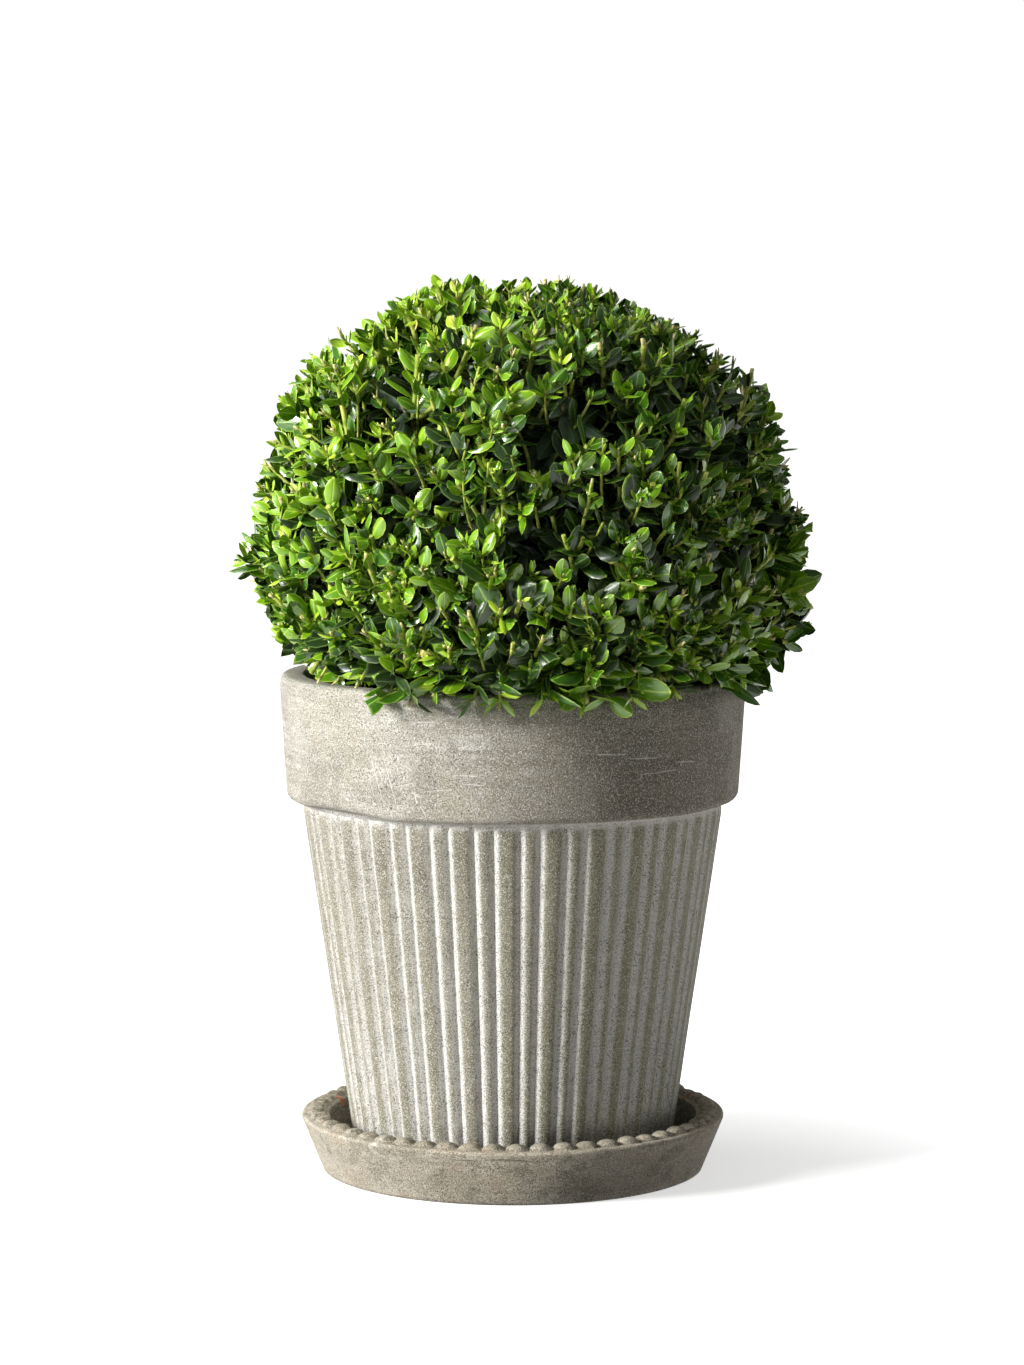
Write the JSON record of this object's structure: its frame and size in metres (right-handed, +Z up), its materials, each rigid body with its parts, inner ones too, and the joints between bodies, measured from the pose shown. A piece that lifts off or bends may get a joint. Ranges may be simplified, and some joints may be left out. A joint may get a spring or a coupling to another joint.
{
  "type": "potted box topiary ball",
  "caption": "Box shrub clipped to a dense ball of small oval leaves, in a ribbed grey clay planter with a plain rim band, standing in a beaded clay saucer.",
  "frame": {"origin": "centre of the saucer's flat underside", "axes": "+Z up, -Y to the front of the plant, +X to the right seen from the front"},
  "size_m": [0.3096, 0.3007, 0.4811],
  "materials": {
    "clay_pot": "weathered matt grey clay",
    "clay_saucer": "weathered matt grey-brown clay",
    "soil": "rough and crumbly",
    "bark": "fissured matt bark",
    "leaves": "glossy leathery green"
  },
  "bodies": {
    "root": {"saucer": "clay_saucer", "pot": "clay_pot", "soil": "soil", "stem": "bark", "foliage": "leaves"}
  },
  "joints": []
}
